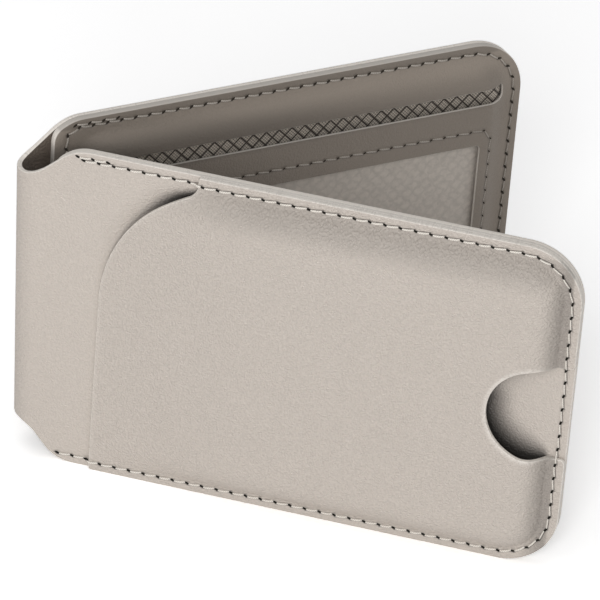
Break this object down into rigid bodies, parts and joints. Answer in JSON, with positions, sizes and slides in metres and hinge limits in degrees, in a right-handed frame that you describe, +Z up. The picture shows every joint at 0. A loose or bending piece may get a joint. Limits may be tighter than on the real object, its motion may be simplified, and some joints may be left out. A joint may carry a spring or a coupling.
{
  "type": "magnetic phone card holder",
  "caption": "Folding leather card holder for the back of a phone, standing half open, with a moulded card pocket, a thumb notch, an inner slot and a film window.",
  "frame": {"origin": "on the surface the holder stands on, under the middle of its bounding box", "axes": "+Z up along the fold, +X along the front flap from the fold to its free edge, -Y out of the card pocket; the back panel is turned 42.9 degrees about +Z from the front flap"},
  "size_m": [0.103, 0.0782, 0.0642],
  "materials": {
    "leather": "smooth pale greige leather with a fine grain",
    "lining_leather": "smooth greige lining leather with a fine grain",
    "board": "stiff pressed board",
    "fabric": "grey mesh lining with a dark diamond hatch",
    "film": "clear frosted film",
    "magnet": "nickel-plated magnet",
    "steel": "thin rolled steel"
  },
  "bodies": {
    "back": {"back_cover": "leather", "ring_magnet_01": "magnet", "ring_magnet_02": "magnet", "ring_magnet_03": "magnet", "ring_magnet_04": "magnet", "ring_magnet_05": "magnet", "ring_magnet_06": "magnet", "ring_magnet_07": "magnet", "ring_magnet_08": "magnet", "ring_magnet_09": "magnet", "ring_magnet_10": "magnet", "ring_magnet_11": "magnet", "ring_magnet_12": "magnet", "ring_magnet_13": "magnet", "ring_magnet_14": "magnet", "ring_magnet_15": "magnet", "ring_magnet_16": "magnet", "ring_magnet_17": "magnet", "ring_magnet_18": "magnet", "magnet_shield": "steel", "board_disc": "board", "alignment_magnet": "magnet", "back_board_fold_side": "board", "back_board_free_side": "board", "closure_magnet_back_lower": "magnet", "closure_magnet_back_upper": "magnet", "pocket_lining": "fabric", "window_film": "film", "window_panel": "lining_leather"},
    "fold": {"fold_leather": "leather"},
    "front": {"front_cover": "leather", "card_pocket": "leather", "front_board": "board", "closure_magnet_front_lower": "magnet", "closure_magnet_front_upper": "magnet", "front_lining": "lining_leather"}
  },
  "joints": [
    {"name": "spine_fold", "type": "hinge", "parent": "back", "child": "fold", "pos_m": [-0.05089, -0.02769, 0.0321], "axis": [0, 0, 1], "range_deg": [-68.55, 21.45], "deforming": ["fold_leather"]},
    {"name": "flap_fold", "type": "hinge", "parent": "fold", "child": "front", "pos_m": [-0.04811, -0.03476, 0.0321], "axis": [0, 0, 1], "range_deg": [-68.55, 21.45], "deforming": ["fold_leather"]}
  ],
  "couplings": [
    {"joint": "flap_fold", "follows": "spine_fold", "ratio": 1}
  ]
}
